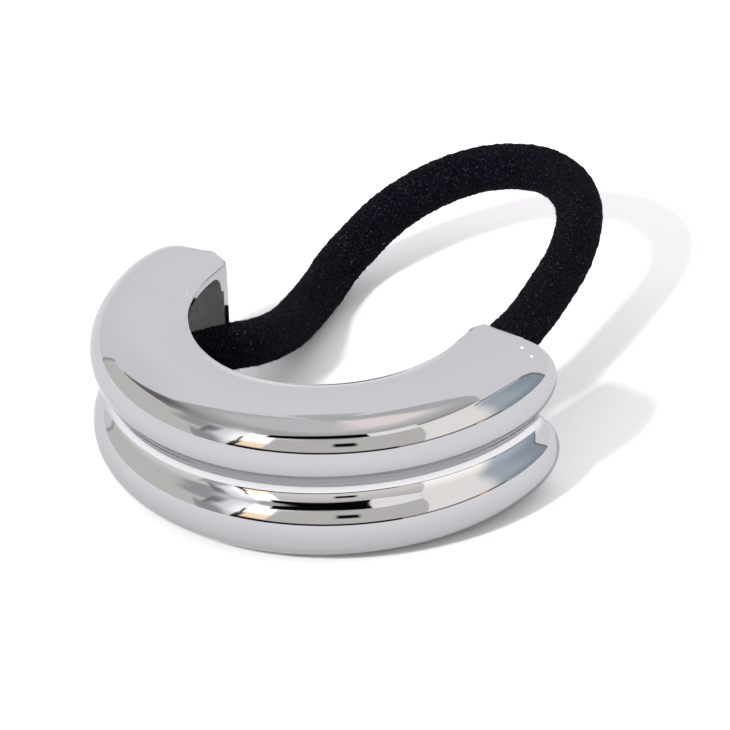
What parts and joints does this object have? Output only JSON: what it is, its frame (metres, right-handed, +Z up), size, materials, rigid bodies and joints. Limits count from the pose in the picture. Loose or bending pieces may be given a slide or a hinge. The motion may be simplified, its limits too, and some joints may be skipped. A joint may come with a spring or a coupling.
{
  "type": "ponytail cuff",
  "caption": "Polished hollow metal ponytail cuff, horseshoe-shaped and double-ridged, open along its inner side, with a covered elastic loop held inside its arms.",
  "frame": {"origin": "on the surface that the cuff lies on, under the middle of the metal cuff's box", "axes": "+X across the cuff's width, +Y out of its mouth towards the elastic's loop, +Z up through the side it lies on"},
  "size_m": [0.05, 0.0687, 0.0176],
  "materials": {
    "polished_metal": "mirror-polished plating outside, satin grey inside the hollow",
    "cup_metal": "satin",
    "elastic": "matt, ribbed and slightly fuzzy"
  },
  "bodies": {
    "root": {"cuff_shell": "polished_metal", "elastic_cup_left": "cup_metal", "elastic_cup_right": "cup_metal", "hair_elastic": "elastic"}
  },
  "joints": []
}
